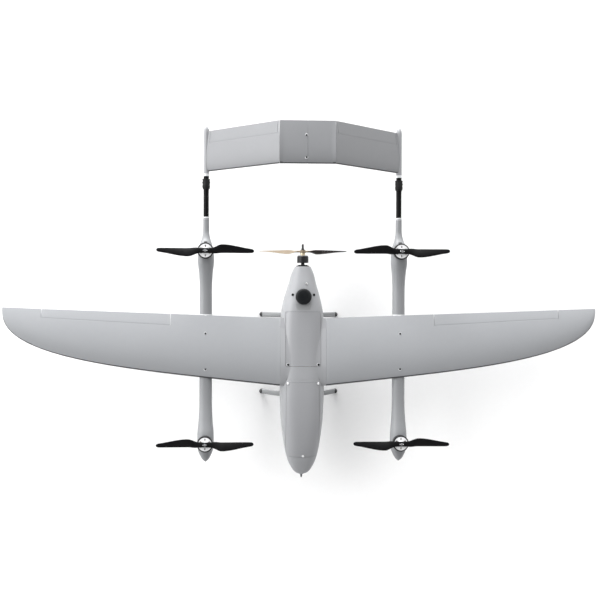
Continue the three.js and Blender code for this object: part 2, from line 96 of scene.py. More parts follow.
def joined(*shapes):
    verts, faces, start = [], [], 0
    for points, polygons in shapes:
        verts.append(np.asarray(points, float))
        faces += [tuple(i + start for i in face) for face in polygons]
        start += len(points)
    return np.vstack(verts), faces


def moved(shape, x=0, y=0, z=0):
    return shape[0] + np.array([x, y, z]), shape[1]


def spread(shape, spots):
    """A copy of a shape at each spot."""
    return joined(*[moved(shape, *spot) for spot in spots])


def turned(shape, axis, degrees):
    spin = np.array(Matrix.Rotation(radians(degrees), 3, axis))
    return shape[0] @ spin.T, shape[1]


def scaled(shape, x, y, z):
    return shape[0] * np.array([x, y, z]), shape[1]


def round_angles(count):
    return [2 * pi * i / count for i in range(count)]


def polar(radius, angle, x=0, y=0):
    return x + radius * cos(angle), y + radius * sin(angle)


def bulge(value, power):
    """A power that keeps the sign, which squares off or sharpens a round section."""
    return copysign(abs(value) ** power, value)


def steps(stops, counts):
    """Values through the stops, with a count from each stop to the next, both included."""
    parts = [np.linspace(a, b, count) for a, b, count in zip(stops, stops[1:], counts)]
    return np.concatenate([part[:-1] for part in parts[:-1]] + parts[-1:])


def loft(rings):
    count = len(rings[0])
    faces = []
    for a in range(len(rings) - 1):
        for i in range(count):
            j = (i + 1) % count
            faces.append((a * count + i, a * count + j, (a + 1) * count + j, (a + 1) * count + i))
    faces.append(tuple(range(count))[::-1])
    faces.append(tuple(range((len(rings) - 1) * count, len(rings) * count)))
    return np.vstack([np.asarray(r, float) for r in rings]), faces


def lathe(profile, segments=48):
    """A profile of (radius, height) pairs turned about Z. It starts and ends on the axis or closes."""
    closed = profile[0] == profile[-1]
    points = profile[:-1] if closed else profile
    rings = [[(*polar(r, angle), z) for r, z in points] for angle in round_angles(segments)]
    count = len(points)
    faces = []
    for i in range(segments):
        j = (i + 1) % segments
        for k in range(count if closed else count - 1):
            m = (k + 1) % count
            faces.append((i * count + k, j * count + k, j * count + m, i * count + m))
    return np.vstack(rings), faces


def prism(outline, low, high):
    return loft([[(x, y, z) for x, y in outline] for z in (low, high)])


def disc(radius, low, high, bevel=0.6, segments=40, bore=0):
    """A cylinder about Z, with a hole if there is a bore. The bevel sets its wall inwards between
    rounded lips, and its ends are dished by as much."""
    round_off = [(1 - sin(a), 1 - cos(a)) for a in (0, 0.52, 1.05, pi / 2)]
    top = [(radius - bevel * v, high - bevel * u) for u, v in round_off[::-1]]
    base = [(r, low + high - z) for r, z in top[::-1]]
    if bore:
        loop = [(bore, low)] + base + top + [(bore, high)]
        return lathe(loop + [loop[0]], segments)
    return lathe([(0, low)] + base + top + [(0, high)], segments)


def headings(path):
    """The direction of a path at each of its points."""
    last = len(path) - 1
    return [(path[min(i + 1, last)] - path[max(i - 1, 0)]).normalized() for i in range(last + 1)]


def tube(path, radius, sides):
    """A round tube swept along points."""
    path = [Vector(p) for p in path]
    side = headings(path)[0].orthogonal().normalized()
    rings = []
    for p, ahead in zip(path, headings(path)):
        side = (side - ahead * side.dot(ahead)).normalized()
        up = ahead.cross(side)
        rings.append([p + side * (radius * cos(a)) + up * (radius * sin(a))
                      for a in round_angles(sides)])
    return loft(rings)


def spline(points, count):
    """Points along a smooth curve through the given ones."""
    p = [Vector(q) for q in points]
    p = [2 * p[0] - p[1]] + p + [2 * p[-1] - p[-2]]
    curve = []
    spans = len(p) - 3
    for n in range(count):
        t = n / (count - 1) * spans
        i = min(int(t), spans - 1)
        u = t - i
        a, b, c, d = p[i:i + 4]
        curve.append(0.5 * (2 * b + (c - a) * u + (2 * a - 5 * b + 4 * c - d) * u ** 2
                            + (3 * b - a - 3 * c + d) * u ** 3))
    return curve


def block(x0, x1, y0, y1, z0, z1, bevel=1.0, segments=3):
    bm = bmesh.new()
    bmesh.ops.create_cube(bm, size=1)
    bmesh.ops.scale(bm, vec=(x1 - x0, y1 - y0, z1 - z0), verts=bm.verts)
    bmesh.ops.translate(bm, vec=((x0 + x1) / 2, (y0 + y1) / 2, (z0 + z1) / 2), verts=bm.verts)
    if bevel:
        bmesh.ops.bevel(bm, geom=bm.edges[:], offset=bevel, segments=segments, affect="EDGES",
                        profile=0.5)
    bm.verts.index_update()
    shape = np.array([v.co[:] for v in bm.verts]), [tuple(v.index for v in f.verts) for f in bm.faces]
    bm.free()
    return shape


def screw(radius, height):
    """A button head screw about Z, its seat at Z = 0, with a socket in its head."""
    return lathe([(0, 0), (radius, 0), (radius, height * 0.35), (radius * 0.9, height * 0.75),
                  (radius * 0.68, height), (radius * 0.45, height), (radius * 0.42, height * 0.3),
                  (0, height * 0.3)], 20)


def facing(shape, normal, at):
    """A shape built about +Z is turned to face along normal and put at a point."""
    spin = np.array(Vector((0, 0, 1)).rotation_difference(Vector(normal)).to_matrix())
    return shape[0] @ spin.T + np.array(at), shape[1]


def new_object(name, data):
    obj = bpy.data.objects.new(name, data)
    bpy.context.scene.collection.objects.link(obj)
    return obj


def bare_mesh(shape, name="scratch"):
    mesh = bpy.data.meshes.new(name)
    mesh.from_pydata([tuple(v) for v in shape[0] * MM], [], shape[1])
    bm = bmesh.new()
    bm.from_mesh(mesh)
    bmesh.ops.remove_doubles(bm, verts=bm.verts, dist=0.005 * MM)
    bmesh.ops.dissolve_degenerate(bm, edges=bm.edges, dist=0.002 * MM)
    bmesh.ops.recalc_face_normals(bm, faces=bm.faces)
    bm.to_mesh(mesh)
    bm.free()
    return mesh


def carved(shape, *cuts):
    """Exact booleans: each cut is ("DIFFERENCE" | "INTERSECT" | "UNION", shape)."""
    base = new_object("scratch", bare_mesh(shape))
    tools = []
    for how, cutter in cuts:
        tool = new_object("scratch", bare_mesh(cutter))
        modifier = base.modifiers.new("cut", "BOOLEAN")
        modifier.operation = how
        modifier.solver = "EXACT"
        modifier.object = tool
        tools.append(tool)
    graph = bpy.context.evaluated_depsgraph_get()
    mesh = bpy.data.meshes.new_from_object(base.evaluated_get(graph))
    verts = np.array([v.co[:] for v in mesh.vertices], float).reshape(-1, 3) / MM
    faces = [tuple(p.vertices) for p in mesh.polygons]
    for item in [base, *tools]:
        bpy.data.objects.remove(item)
    bpy.data.meshes.remove(mesh)
    return verts, faces


def cut(shape, *tools):
    """A shape with others taken away."""
    return carved(shape, *[("DIFFERENCE", tool) for tool in tools])


def piece(name, shape, material, body="airframe", replaces=None, marks=None):
    """A visible piece. marks is (second material, test of a face's centre and normal in millimetres)."""
    mesh = bare_mesh(shape, name)
    mesh.materials.append(material)
    if marks:
        mesh.materials.append(marks[0])
    bm = bmesh.new()
    bm.from_mesh(mesh)
    for face in bm.faces:
        face.smooth = True
        if marks and marks[1](face.calc_center_median() / MM, face.normal):
            face.material_index = 1
    for edge in bm.edges:
        edge.smooth = len(edge.link_faces) == 2 and edge.calc_face_angle(0) <= CREASE
    bm.to_mesh(mesh)
    bm.free()
    obj = new_object(name, mesh)
    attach(obj, body)
    if replaces:
        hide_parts(replaces)


# ---- Materials ----


def add_node(tree, kind, inputs=None, **settings):
    """A node with its settings and inputs. An input is a value, or another node's output to link."""
    node = tree.nodes.new("ShaderNode" + kind)
    for key, value in settings.items():
        setattr(node, key, value)
    for key, value in (inputs or {}).items():
        if isinstance(value, bpy.types.NodeSocket):
            tree.links.new(value, node.inputs[key])
        else:
            node.inputs[key].default_value = value
    return node


class Nodes:
    def __init__(self, name, color, rough, metal=0.0, **fixed):
        self.material = bpy.data.materials.new(name)
        self.material.use_nodes = True
        self.tree = self.material.node_tree
        self.shader = self.tree.nodes["Principled BSDF"]
        self.shader.inputs["Metallic"].default_value = metal
        for socket, value in fixed.items():
            self.shader.inputs[socket.replace("_", " ")].default_value = value
        self.place = self.add("TexCoord").outputs["Object"]
        self.color = self.add("RGB").outputs[0]
        self.color.default_value = (*color, 1)
        self.rough = rough

    def add(self, kind, inputs=None, **settings):
        return add_node(self.tree, kind, inputs, **settings)

    def stretch(self, scale):
        """The object's own coordinates, scaled."""
        return self.add("Mapping", {"Scale": scale, "Vector": self.place}).outputs[0]

    def noise(self, scale, detail=3.0, vector=None, rough=0.5):
        inputs = {"Scale": scale, "Detail": detail, "Roughness": rough, "Vector": vector or self.place}
        return self.add("TexNoise", inputs).outputs["Fac"]

    def ramp(self, source, low, high, to_low=0.0, to_high=1.0):
        inputs = {"Value": source, "From Min": low, "From Max": high, "To Min": to_low, "To Max": to_high}
        return self.add("MapRange", inputs, clamp=True).outputs[0]

    def mix(self, share, color):
        """Lays another colour over the surface where share is high."""
        inputs = {"Factor": share, "A": self.color, "B": (*color, 1)}
        self.color = self.add("Mix", inputs, data_type="RGBA").outputs["Result"]
        return self

    def tint(self, source, low, high):
        """Makes the colour darker or lighter with source, between two factors."""
        inputs = {"Factor": 1, "A": self.color, "B": self.ramp(source, 0.25, 0.75, low, high)}
        self.color = self.add("Mix", inputs, data_type="RGBA", blend_type="MULTIPLY").outputs["Result"]
        return self

    def wear(self, low, high, color):
        """Lighter worn edges, from the mesh's own convex edges."""
        point = self.add("NewGeometry").outputs["Pointiness"]
        return self.mix(self.ramp(point, low, high, 0, 0.5), color)

    def finish(self, rough_spread, bump, bump_scale=900, bump_source=None, rough_scale=35):
        low, high = self.rough - rough_spread, self.rough + rough_spread
        uneven = self.ramp(self.noise(rough_scale, 4), 0.3, 0.7, low, high)
        height = bump_source or self.noise(bump_scale, 2)
        relief = self.add("Bump", {"Strength": bump, "Distance": 0.0004, "Height": height}).outputs[0]
        for source, socket in ((uneven, "Roughness"), (self.color, "Base Color"), (relief, "Normal")):
            self.tree.links.new(source, self.shader.inputs[socket])
        return self.material


def painted(name, color, rough=0.42, grain=0.05):
    nodes = Nodes(name, color, rough, Specular_IOR_Level=0.4)
    nodes.tint(nodes.noise(1.6, 5), 0.96, 1.03).tint(nodes.noise(40, 6, rough=0.7), 0.985, 1.012)
    nodes.wear(0.53, 0.6, tuple(min(1, c * 1.25) for c in color))
    return nodes.finish(0.06, grain, 700, rough_scale=9)


def plastic(name, color, rough=0.5, bump=0.25, scale=1600, shine=0.3):
    nodes = Nodes(name, color, rough, Specular_IOR_Level=shine)
    nodes.tint(nodes.noise(60, 5), 0.8, 1.25).wear(0.52, 0.6, tuple(c * 2.2 + 0.02 for c in color))
    return nodes.finish(0.1, bump, scale)


def metal(name, color, rough=0.28, brushed=(900, 900, 12), dark=0.8):
    nodes = Nodes(name, color, rough, 1.0)
    streaks = nodes.noise(1.0, 3, nodes.stretch(brushed))
    nodes.tint(streaks, dark, 1.08).tint(nodes.noise(30, 4), 0.93, 1.04)
    return nodes.finish(0.1, 0.08, bump_source=streaks)


def woven(name, color, rough):
    """Carbon cloth: two sets of tows that cross at right angles under clear resin."""
    nodes = Nodes(name, color, rough, Specular_IOR_Level=0.1)
    turn = nodes.add("Mapping", {"Rotation": (0.35, 0.25, radians(45)), "Vector": nodes.place})
    weave = nodes.add("TexChecker", {"Scale": 380, "Vector": turn.outputs[0]}).outputs["Fac"]
    nodes.tint(weave, 0.65, 1.5).tint(nodes.noise(25, 4), 0.85, 1.2)
    return nodes.finish(0.08, 0.12, bump_source=weave)


def timber(name, light, dark, rough=0.35, grain=(3, 90, 90)):
    nodes = Nodes(name, light, rough, Coat_Weight=0.4, Coat_Roughness=0.12)
    streaks = nodes.noise(6, 5, nodes.stretch(grain), 0.65)
    nodes.mix(nodes.ramp(streaks, 0.42, 0.62), dark)
    nodes.tint(nodes.noise(18, 5), 0.9, 1.08)
    return nodes.finish(0.06, 0.1, bump_source=streaks)


WING_PAINT = painted("wing_paint", (0.312, 0.320, 0.334))
SHELL = painted("shell_paint", (0.300, 0.305, 0.317))
TAIL_PAINT = painted("tail_paint", (0.218, 0.222, 0.231))
BOOM_PAINT = painted("boom_paint", (0.234, 0.240, 0.249), 0.45)
HATCH = painted("hatch_paint", (0.288, 0.292, 0.304), 0.4)
# A pale colour for pale mouldings, and for painted highlights beside screws
PALE_AND_HIGHLIGHT = painted("pale_moulding_and_painted_highlight", (0.62, 0.63, 0.64), 0.4)
# Painted shadow: a darker grey laid where shadows fall on the deck
PAINTED_SHADOW = painted("painted_shadow", (0.245, 0.25, 0.255), 0.5)
GEAR_PAINT = painted("gear_paint", (0.235, 0.243, 0.247), 0.45, 0.1)
# Painted shade: a dark colour for the leading edges, which face away from the light
LEADING_EDGE_SHADE = painted("leading_edge_painted_shade", (0.060, 0.062, 0.065), 0.5)
BLACK = plastic("black_plastic", (0.005, 0.005, 0.0055), 0.45, shine=0.1)
SATIN_BLACK = plastic("satin_black", (0.008, 0.009, 0.010), 0.38, 0.1, shine=0.16)
RUBBER = plastic("rubber", (0.045, 0.045, 0.046), 0.75, 0.5, 900, 0.2)
GREY_PLASTIC = plastic("grey_plastic", (0.12, 0.125, 0.13), 0.5)
ALUMINIUM = metal("aluminium", (0.82, 0.83, 0.85), 0.3)
BLACK_METAL = plastic("black_anodised", (0.008, 0.008, 0.009), 0.35, 0.1, 2500, 0.25)
STEEL = metal("steel", (0.62, 0.63, 0.65), 0.25, (60, 60, 600))
BRIGHT = metal("bright_steel", (0.95, 0.95, 0.96), 0.3, (300, 300, 300), 0.9)
SILVER = painted("silver_lacquer", (0.80, 0.80, 0.81), 0.4, 0.1)
DARK_STEEL = metal("dark_steel", (0.10, 0.10, 0.105), 0.4)
BRASS = metal("brass", (0.74, 0.64, 0.46), 0.3)
GREY_METAL = painted("grey_anodised", (0.17, 0.17, 0.175), 0.4, 0.1)
COPPER = metal("copper_windings", (0.30, 0.16, 0.10), 0.35, (600, 600, 1500), 0.6)
CARBON = woven("carbon_cloth", (0.006, 0.006, 0.0065), 0.34)
CARBON_TUBE = woven("carbon_tube", (0.004, 0.004, 0.0045), 0.4)
WOOD = timber("maple", (0.24, 0.185, 0.115), (0.16, 0.115, 0.07))
# Painted shade: a near-black colour for the blades' shaded forward faces
PROP_PAINTED_SHADE = plastic("prop_painted_shade", (0.016, 0.011, 0.009), 0.3, 0.08)
PLYWOOD = timber("plywood", (0.50, 0.34, 0.18), (0.38, 0.24, 0.12), 0.6, (20, 3, 20))
BATTERY_WRAP = plastic("battery_wrap", (0.02, 0.045, 0.13), 0.35, 0.12, 300)
STRAP = plastic("strap_webbing", (0.02, 0.02, 0.022), 0.8, 0.8, 1200)
RED_WIRE = plastic("red_wire", (0.32, 0.012, 0.010), 0.45, 0.05)

# ---- Fuselage ----


def monotone(xs, ys, at):
    """Smooth interpolation that never overshoots its stations."""
    xs, ys, at = np.array(xs, float), np.array(ys, float), np.array(at, float)
    h, d = np.diff(xs), np.diff(ys) / np.diff(xs)
    slope = np.zeros(len(xs))
    slope[0], slope[-1] = d[0], d[-1]
    for i in range(1, len(xs) - 1):
        if d[i - 1] * d[i] > 0:
            w1, w2 = 2 * h[i] + h[i - 1], h[i] + 2 * h[i - 1]
            slope[i] = (w1 + w2) / (w1 / d[i - 1] + w2 / d[i])
    i = np.clip(np.searchsorted(xs, at, side="right") - 1, 0, len(xs) - 2)
    t = (at - xs[i]) / h[i]
    return ((1 + 2 * t) * (1 - t) ** 2 * ys[i] + t * (1 - t) ** 2 * h[i] * slope[i]
            + t ** 2 * (3 - 2 * t) * ys[i + 1] + t ** 2 * (t - 1) * h[i] * slope[i + 1])


def stations(table, at):
    columns = list(zip(*table))
    return list(zip(at, *[monotone(columns[0], column, at) for column in columns[1:]]))


def smoothstep(x, low, high):
    t = min(max((x - low) / (high - low), 0), 1)
    return t * t * (3 - 2 * t)


def squareness(y):
    return 2.3 + 0.9 * smoothstep(y, -900, -500) * (1 - smoothstep(y, -40, 180))


def oval(half_width, low, high, widest, power, count, centre_x=0.0, y=0.0):
    ring = []
    for angle in round_angles(count):
        c, s = cos(angle), sin(angle)
        rise = (high - widest if s > 0 else widest - low) * bulge(s, 2 / power)
        ring.append((centre_x - half_width * bulge(c, 2 / power), y, widest + rise))
    return ring


def widest_height(y, low, high):
    if y > 0:
        return WIDEST_Z + (PUSHER_Z - WIDEST_Z) * y / FUSELAGE_END_Y
    return min(max(WIDEST_Z, low + 4), high - 4)


def fuselage(inset=0.0, last=FUSELAGE_END_Y):
    count = 112
    rings = []
    at = steps((-947, -900, -700, -100, last), (14, 24, 34, 36))
    for y, half_width, low, high in stations(FUSELAGE, at):
        low, high, half_width = low + inset, high - inset, half_width - inset
        widest = widest_height(y, low, high)
        place = y * (1 - inset / HALF_SPAN)
        rings.append(oval(half_width, low, high, widest, squareness(y), count, 0, place))
    if not inset:
        foremost = oval(12, 252, 276, NOSE_Z, 2.3, count)
        for y, share in ((-948.4, 0.8), (-949.4, 0.45)):
            rings.insert(0, [(x * share, y, NOSE_Z + (z - NOSE_Z) * share) for x, _, z in foremost])
    return loft(rings)


def top_height(x, y):
    """The height of the fuselage's upper skin."""
    _, half_width, low, high = stations(FUSELAGE, [y])[0]
    widest = widest_height(y, low, high)
    power = squareness(y)
    return widest + (high - widest) * (1 - min(abs(x) / half_width, 1) ** power) ** (1 / power)


def deck_height(x, y):
    """The height of the skin where the wing's root may rise over the fuselage."""
    root = wing_section(WING_ROOT_X)
    share = 1 - (root["trail"] - y) / root["chord"]
    over = skin(root, share, 1)[2] if 0.003 < share < 0.998 else 0
    return max(over, top_height(x, y))


def top_normal(x, y):
    dx = (deck_height(x + 2, y) - deck_height(x - 2, y)) / 4
    dy = (deck_height(x, y + 2) - deck_height(x, y - 2)) / 4
    return Vector((-dx, -dy, 1)).normalized()


def half_thickness(share, thickness):
    return 5 * thickness * (0.2969 * sqrt(share) - 0.126 * share - 0.3516 * share ** 2
                            + 0.2843 * share ** 3 - 0.1015 * share ** 4)


def wing_section(x):
    share = x / TIP_LIMIT
    along = (x - AILERON[0]) / (AILERON[1] - AILERON[0])
    return {"x": x, "trail": -91 + 58 * share, "z": WING_Z, "thickness": 0.12, "camber": 0.03,
            "chord": 375 * (1 - 0.3 * share) * (1 - share ** 5) ** 0.37, "flap": 59 - 14 * along}


def tail_section(x):
    return {"x": x, "trail": 0, "z": 0, "thickness": 0.1, "camber": 0, "chord": TAIL_CHORD, "flap": 64}


def skin(section, share, side):
    rise = 4 * section["camber"] * share * (1 - share) + side * half_thickness(share, section["thickness"])
    return (section["x"], section["trail"] - section["chord"] * (1 - share),
            section["z"] + section["chord"] * rise)


def aerofoil(section, count=88):
    ring = []
    for i in range(count):
        angle = (i + 0.5) / count * 2 * pi
        share = (1 + cos(angle)) / 2 * 0.9985
        ring.append(skin(section, share, 1 if sin(angle) > 0 else -1))
    return ring


def hinge(section):
    share = 1 - section["flap"] / section["chord"]
    high, low = skin(section, share, 1), skin(section, share, -1)
    return share, high[1], (high[2] + low[2]) / 2, (high[2] - low[2]) / 2


def nose_arc(section, radius, count):
    """The round front of a control surface, about its hinge."""
    _, y, z, _ = hinge(section)
    angles = [pi * i / count for i in range(count + 1)]
    return [(section["x"], y - radius * sin(a), z + radius * cos(a)) for a in angles]


def flap_ring(section):
    share, _, _, radius = hinge(section)
    along = [1 - (1 - share) * (0.012 + 0.95 * i / 14) for i in range(14)]
    upper = [skin(section, s, 1) for s in along]
    lower = [skin(section, s, -1) for s in along[::-1]]
    return upper + nose_arc(section, radius, 16) + lower


def cove_ring(section, gap=0.5, reach=40):
    _, y, z, radius = hinge(section)
    x, back = section["x"], section["trail"] + reach
    return [(x, back, z + reach), (x, y, z + reach), *nose_arc(section, radius + gap, 18),
            (x, y, z - reach), (x, back, z - reach)]


def linkage(section):
    """Where a servo's spindle and a horn's hinge lie."""
    share, y, z, _ = hinge(section)
    _, spindle_y, under = skin(section, share - 0.25, -1)
    return {"x": section["x"], "y": y, "z": z, "spindle_y": spindle_y, "spindle_z": under - 6,
            "skin": under}


root_section = wing_section(WING_ROOT_X)
root_stub = loft([aerofoil({**root_section, "x": x}) for x in np.linspace(-WING_ROOT_X, WING_ROOT_X, 9)])
cavity = fuselage(3, last=183)


def hatch_box(hatch, gap, corner=9):
    """Everything above a hatch's lower edge, inside its rounded outline."""
    back, front, half, low = hatch[1] + gap, hatch[0] - gap, hatch[2] + gap, hatch[3] - gap
    outline = []
    for x, y, start in ((half - corner, back - corner, 0), (corner - half, back - corner, 90),
                        (corner - half, front + corner, 180), (half - corner, front + corner, 270)):
        outline += [polar(corner, radians(start + 15 * step), x, y) for step in range(7)]
    return prism(outline, low, 520)


spar_bore = facing(disc(8.6, -130, 130, 0), (1, 0, 0), (0, SPAR_Y, WING_Z))
skin_body = carved(fuselage(), ("UNION", root_stub))
deck_line = cut(block(-92, 92, -419.6, -417.4, 300, 460, 0), fuselage(1.6))
shell = cut(skin_body, cavity, hatch_box(FRONT_HATCH, PANEL_GAP), hatch_box(REAR_HATCH, PANEL_GAP), spar_bore,
            deck_line)
piece("hull", shell, SHELL, replaces="fuselage_shell")
for name, hatch in (("front_hatch", FRONT_HATCH), ("rear_hatch", REAR_HATCH)):
    panel = carved(skin_body, ("DIFFERENCE", cavity), ("INTERSECT", hatch_box(hatch, -PANEL_GAP)))
    piece(name + "_skin", panel, HATCH, name, name)
    reach = (hatch[2] - 16) * 0.8
    ribs = []
    for y in np.linspace(hatch[0] + 60, hatch[1] - 40, 4):
        path = [(x, y, top_height(x, y) - 5.5) for x in np.linspace(-reach, reach, 13)]
        ribs.append(tube(path, 2.2, 8))
    piece(name + "_ribs", joined(*ribs), GREY_PLASTIC, name)

# A lip under the hatches' edges, which they rest on
for name, hatch, start in (("front", FRONT_HATCH, 90), ("rear", REAR_HATCH, 12)):
    strips = []
    for sign in (-1, 1):
        x = sign * (hatch[2] + 1)
        ys = np.linspace(hatch[0] + start, hatch[1] - 12, 24)
        strips.append(tube([(x - sign * 4, y, top_height(x, y) - 7) for y in ys], 3, 8))
    xs = np.linspace(-hatch[2] + 6, hatch[2] - 6, 20)
    strips.append(tube([(x, hatch[1] + 1, top_height(x, hatch[1]) - 7) for x in xs], 3, 8))
    piece(name + "_hatch_lip", joined(*strips), GREY_PLASTIC)

# Painted shadow: a darker thin pad on the deck ahead of the dome, where the dome's shadow falls
dome_shadow_rings = []
for y in np.linspace(-42, -8, 6):
    xs = np.linspace(-46 - 0.2 * y, 46 + 0.2 * y, 16)
    over = [(x, y, top_height(x, y) + 0.9) for x in xs]
    dome_shadow_rings.append(over + [(x, y, z - 1.9) for x, y, z in over[::-1]])
piece("dome_painted_shadow", loft(dome_shadow_rings), PAINTED_SHADOW)

# ---- Fasteners and fittings on the fuselage ----


def on_deck(shape, x, y, sunk=0.0):
    """A fitting built about Z is set square on the deck."""
    normal = top_normal(x, y)
    return facing(shape, normal, Vector((x, y, deck_height(x, y))) - normal * sunk)


def deck_screw(x, y, radius, height):
    return on_deck(screw(radius, height), x, y, 0.4)


# A thin disc on the deck beside a screw, used for painted shadows and painted highlights
def deck_painted_light_disc(x, y, radius, rise):
    return on_deck(disc(radius, 0, rise, 0.4, 28), x, y, 0.3)


piece("front_hatch_screws", joined(deck_screw(-82, -438.5, 6.5, 4.5), deck_screw(82, -438.5, 6.5, 4.5),
                                   deck_screw(4, -838, 6.5, 4.2)), SILVER, "front_hatch")
# Painted shadows: darker discs just off the white screws, where their shadows fall
piece("front_hatch_screw_shadows", joined(deck_painted_light_disc(-81, -441, 8.4, 0.9), deck_painted_light_disc(81, -441, 8.4, 0.9),
                                       deck_painted_light_disc(4, -837.5, 7.6, 0.8)), PAINTED_SHADOW, "front_hatch")
piece("rear_hatch_screws", joined(deck_screw(-82, -336.5, 6.4, 3.4), deck_screw(82, -336.5, 6.4, 3.4)),
      BLACK, "rear_hatch")
# Painted highlights: pale discs just left of the black screws, where light glints on their heads
piece("rear_hatch_screw_highlights", joined(deck_painted_light_disc(-83.5, -336.5, 8.6, 0.8), deck_painted_light_disc(80.5, -336.5, 8.6, 0.8)),
      PALE_AND_HIGHLIGHT, "rear_hatch")
button = lathe([(0, -2), (7.2, -2), (7.2, 2.2), (6, 3.4), (3, 3.6), (0, 3.2)], 24)
piece("side_buttons", joined(on_deck(button, -57, 38), on_deck(button, 57, 38)), BLACK)
bright_fitting = joined(disc(6.5, -1, 2.2, 0.6, 28), disc(3.2, 2, 5.4, 0.8, 20))
piece("bright_fitting", on_deck(bright_fitting, 17, 98), BRIGHT)

# ---- Dome and pitot tube ----

dome_low = top_height(0, -14) - 12
dome_profile = [(0, dome_low), (43, dome_low), (43, 408), (42.4, 414), (40.8, 418.5), (38, 421.6),
                (33, 423.6), (26, 424.4), (25, 423.7), (24, 424.4), (12, 424.9), (0, 425)]
dome = cut(moved(lathe(dome_profile, 72), 0, 28), fuselage(1.2))
piece("dome", dome, SATIN_BLACK, replaces="gnss_dome")
pitot = lathe([(0, 909), (5.5, 909), (5.5, 955), (5.2, 958), (3.6, 966), (3.2, 967.6), (2.2, 968),
               (1.4, 967.2), (1.4, 958), (0, 958)], 28)
piece("pitot_probe", facing(pitot, (0, -1, 0), (0, 0, NOSE_Z)), DARK_STEEL,
      replaces="pitot_tube")
piece("pitot_collar", facing(disc(9, 943, 951.5, 1.5, 32), (0, -1, 0), (0, 0, NOSE_Z)), GREY_PLASTIC)

# ---- Equipment inside the fuselage ----

tray_holes = [moved(disc(14, 170, 200, 0, 28), x, y) for x in (-50, 0, 50) for y in (-400, -350, -280)]
tray = carved(block(-150, 150, -760, -70, 180, 184, 0), ("INTERSECT", fuselage(3.6)),
              ("UNION", block(-50, 50, -545, -455, 182, 190, 0)),
              *[("DIFFERENCE", hole) for hole in tray_holes])
piece("tray", tray, PLYWOOD, replaces="equipment_tray")
piece("battery", block(-42, 42, -740, -560, 184.4, 262.4, 5, 4), BATTERY_WRAP,
      replaces="battery_pack")
strap = joined(block(-44, 44, -10, 10, 262.2, 263.6, 0.5), block(-44.2, -42.4, -10, 10, 184.6, 263.4, 0.5),
               block(42.4, 44.2, -10, 10, 184.6, 263.4, 0.5))
piece("battery_straps", spread(strap, [(0, -700), (0, -600)]), STRAP)
autopilot_screws = spread(screw(2.4, 1.6), [(x, y, 218.2) for x in (-26, 26) for y in (-208, -127)])
piece("autopilot_case", joined(block(-32, 32, -215, -120, 184.4, 218.4, 3.5, 4), autopilot_screws), BLACK,
      replaces="autopilot")
for name, x, material, slot in (("black", -9, BLACK, "black_plastic"), ("red", 9, RED_WIRE, "battery")):
    route = [(x, -562, 225), (x, -548, 222), (x * 2.6, -520, 200), (62 + x, -440, 188), (66 + x, -300, 188),
             (40 + x, -235, 190), (x, -214, 200)]
    piece("battery_lead_" + name, tube(spline(route, 48), 2.6, 10), material)
piece("spar_tube", facing(disc(8, -900, 900, 1, 40), (1, 0, 0), (0, SPAR_Y, WING_Z)), CARBON_TUBE,
      replaces="wing_spar")

# ---- Motors and propellers ----

BLADE_SHARES = [0.0, 0.04, 0.07, 0.1, 0.13, 0.16, 0.2, 0.24, 0.28, 0.32, 0.37, 0.42, 0.48, 0.54, 0.6, 0.66,
                0.72, 0.78, 0.83, 0.88, 0.92, 0.95, 0.97, 0.985, 0.993, 0.998, 1.0]
LIFT_PROP = {"radius": 258, "thick": 11, "root": 27, "chord": 48, "pitch": 20}
PUSHER_PROP = {"radius": 239, "thick": 14, "root": 26, "chord": 37, "pitch": 42}


def blade(size):
    rings = []
    for share in BLADE_SHARES:
        swell = smoothstep(share, 0.08, 0.34)
        taper = 1 - 0.55 * smoothstep(share, 0.34, 1.05)
        round_tip = sqrt(1 - min(share, 0.9985) ** 40)
        full = (size["root"] + (size["chord"] - size["root"]) * swell) * taper
        width = full * round_tip
        thick = size["thick"] * 0.8
        depth = thick + (width * 0.11 - thick) * swell
        turn = radians(swell * size["pitch"] * (1.25 - 0.9 * share))
        lead = (full / 2 - size["root"] / 2) * swell
        ring = []
        for angle in round_angles(22):
            y = lead + width / 2 * cos(angle)
            fullness = 1 + 0.25 * swell * cos(angle)
            z = depth / 2 * sin(angle) * fullness + 0.04 * width * swell * sin(angle) ** 2
            ring.append((share * size["radius"], y * cos(turn) - z * sin(turn),
                         y * sin(turn) + z * cos(turn)))
        rings.append(ring)
    return loft(rings)


def propeller(size, hub):
    one = blade(size)
    centre = disc(hub, -size["thick"] / 2, size["thick"] / 2, 1.2, 48)
    bore = disc(4.3, -30, 30, 0, 32)
    return carved(centre, ("UNION", one), ("UNION", turned(one, "Z", 180)), ("DIFFERENCE", bore))


def outrunner(bell, skirt, rim, boss, height, windows):
    """The turning can: its black ring, and its bright spoked top with the boss."""
    ring = lathe([(bell - 2.4, skirt), (bell - 0.6, skirt), (bell, skirt + 0.6), (bell, rim - 4.2),
                  (bell - 0.5, rim - 2.2), (bell - 1.8, rim - 0.9), (bell - 6.4, rim + 0.1),
                  (bell - 6.4, rim - 3), (bell - 2.4, rim - 5.2), (bell - 2.4, skirt)], 96)
    top = lathe([(4, rim - 5.4), (bell - 3, rim - 5.4), (bell - 3, rim - 5.1), (bell - 6.8, rim - 2.6),
                 (bell - 7, rim - 0.3), (boss + 1.5, rim + 0.4), (boss + 0.3, rim + 1.4), (boss, rim + 2),
                 (boss, height - 0.8), (boss - 0.8, height), (4, height), (4, rim - 5.4)], 96)
    openings = []
    for i in range(windows):
        centre = 2 * pi * (i + 0.5) / windows
        outline = [polar(boss + 5, centre + 0.13 * (k / 3 - 1)) for k in range(7)]
        outline += [polar(bell - 12, centre - 0.11 * (k / 3 - 1)) for k in range(7)]
        openings.append(prism(outline, rim - 9, rim + 3))
    return ring, cut(top, *openings) if openings else top


